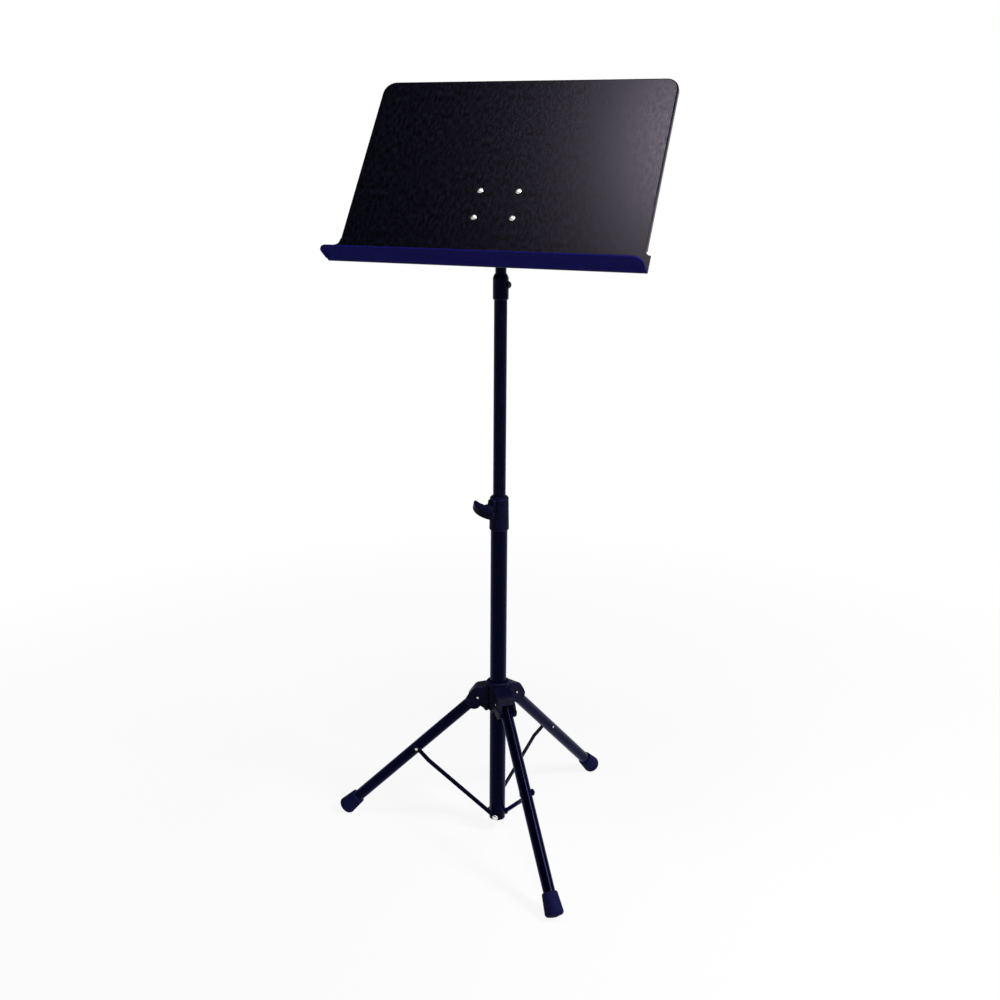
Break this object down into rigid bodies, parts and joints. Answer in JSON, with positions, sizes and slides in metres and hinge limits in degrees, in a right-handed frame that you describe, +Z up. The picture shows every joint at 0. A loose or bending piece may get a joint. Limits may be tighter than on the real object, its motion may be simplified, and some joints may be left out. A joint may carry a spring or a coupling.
{
  "type": "music stand",
  "caption": "Free-standing folding music stand: tilting sheet-steel desk with a shelf on a two-tube height-adjustable mast with a folding tripod.",
  "frame": {"origin": "on the floor, on the mast's axis", "axes": "+Z up along the mast, the desk's face looks towards -Y, +X to the right of someone who looks along +Y at the desk"},
  "size_m": [0.4912, 0.4569, 1.1505],
  "materials": {
    "desk_paint": "fine satin powder coat, near black",
    "tube_paint": "semi-gloss powder coat, near black",
    "black_nylon": "moulded black nylon",
    "foot_rubber": "matt black rubber",
    "bright_rivet": "bright nickel-plated steel",
    "dark_screw": "black zinc-plated steel",
    "cast_plug": "die-cast, dull"
  },
  "bodies": {
    "mast": {"lower_tube": "tube_paint", "clutch_collar": "black_nylon", "clutch_bush": "black_nylon", "clutch_pad": "black_nylon", "tube_plug": "cast_plug", "plug_rivets": "bright_rivet"},
    "upper_mast": {"upper_tube": "tube_paint", "tube_guide": "black_nylon", "socket_sleeve": "tube_paint"},
    "clutch_handle": {"clutch_knob": "black_nylon", "clutch_stud": "dark_screw"},
    "post_lock": {"socket_screw": "dark_screw"},
    "post": {"desk_post": "tube_paint", "tilt_washers": "black_nylon"},
    "desk": {"desk_panel": "desk_paint", "tilt_bracket": "desk_paint", "desk_rivets": "bright_rivet", "tilt_bolt": "dark_screw"},
    "tilt_handle": {"tilt_knob": "black_nylon"},
    "slider": {"hub": "black_nylon", "leg_pivot_pins": "bright_rivet"},
    "slider_lock": {"hub_screw": "dark_screw"},
    "leg_1": {"leg_tube_1": "tube_paint", "foot_1": "foot_rubber", "brace_rivet_1": "bright_rivet"},
    "strut_1": {"brace_1": "tube_paint"},
    "leg_2": {"leg_tube_2": "tube_paint", "foot_2": "foot_rubber", "brace_rivet_2": "bright_rivet"},
    "strut_2": {"brace_2": "tube_paint"},
    "leg_3": {"leg_tube_3": "tube_paint", "foot_3": "foot_rubber", "brace_rivet_3": "bright_rivet"},
    "strut_3": {"brace_3": "tube_paint"}
  },
  "joints": [
    {"name": "height_slide", "type": "slide", "parent": "mast", "child": "upper_mast", "axis": [0, 0, 1], "range_m": [-0.275, 0.12]},
    {"name": "clutch_turn", "type": "hinge", "parent": "mast", "child": "clutch_handle", "pos_m": [-0.00803, -0.01722, 0.5445], "axis": [-0.4226, -0.9063, 0], "range_deg": [0, 360]},
    {"name": "desk_swivel", "type": "hinge", "parent": "upper_mast", "child": "post", "pos_m": [0, 0, 0.887], "axis": [0, 0, 1], "continuous": true},
    {"name": "post_lock_turn", "type": "hinge", "parent": "upper_mast", "child": "post_lock", "pos_m": [0.0114, 0, 0.872], "axis": [1, 0, 0], "range_deg": [0, 360]},
    {"name": "desk_tilt", "type": "hinge", "parent": "post", "child": "desk", "pos_m": [0, 0, 0.968], "axis": [-1, 0, 0], "range_deg": [-26, 54]},
    {"name": "tilt_lock_turn", "type": "hinge", "parent": "desk", "child": "tilt_handle", "pos_m": [0.0097, 0, 0.968], "axis": [1, 0, 0], "range_deg": [0, 360]},
    {"name": "tripod_fold", "type": "hinge", "parent": "mast", "child": "strut_1", "pos_m": [0, 0, 0.0275], "axis": [-0.7738, -0.6334, 0], "range_deg": [0, 37.39]},
    {"name": "leg_1_fold", "type": "hinge", "parent": "strut_1", "child": "leg_1", "pos_m": [0.08235, -0.10061, 0.13361], "axis": [0.7738, 0.6334, 0], "range_deg": [0, 78.4]},
    {"name": "slider_rise", "type": "hinge", "parent": "leg_1", "child": "slider", "pos_m": [0.01875, -0.02291, 0.23402], "axis": [0.7738, 0.6334, 0], "range_deg": [-41.01, 0]},
    {"name": "slider_lock_turn", "type": "hinge", "parent": "slider", "child": "slider_lock", "pos_m": [-0.01583, 0.01935, 0.22302], "axis": [-0.6334, 0.7738, 0], "range_deg": [0, 360]},
    {"name": "leg_2_fold", "type": "hinge", "parent": "slider", "child": "leg_2", "pos_m": [0.01046, 0.02769, 0.23402], "axis": [-0.9354, 0.3535, 0], "range_deg": [0, 41.01]},
    {"name": "strut_2_fold", "type": "hinge", "parent": "leg_2", "child": "strut_2", "pos_m": [0.04596, 0.12162, 0.13361], "axis": [-0.9354, 0.3535, 0], "range_deg": [-78.4, 0]},
    {"name": "leg_3_fold", "type": "hinge", "parent": "slider", "child": "leg_3", "pos_m": [-0.02921, -0.00478, 0.23402], "axis": [0.1616, -0.9869, 0], "range_deg": [0, 41.01]},
    {"name": "strut_3_fold", "type": "hinge", "parent": "leg_3", "child": "strut_3", "pos_m": [-0.1283, -0.02101, 0.13361], "axis": [0.1616, -0.9869, 0], "range_deg": [-78.4, 0]}
  ],
  "couplings": [
    {"joint": "leg_1_fold", "follows": "tripod_fold", "ratio": 2.0965},
    {"joint": "slider_rise", "follows": "tripod_fold", "ratio": -1.0965},
    {"joint": "leg_2_fold", "follows": "tripod_fold", "ratio": 1.0965},
    {"joint": "strut_2_fold", "follows": "tripod_fold", "ratio": -2.0965},
    {"joint": "leg_3_fold", "follows": "tripod_fold", "ratio": 1.0965},
    {"joint": "strut_3_fold", "follows": "tripod_fold", "ratio": -2.0965}
  ]
}
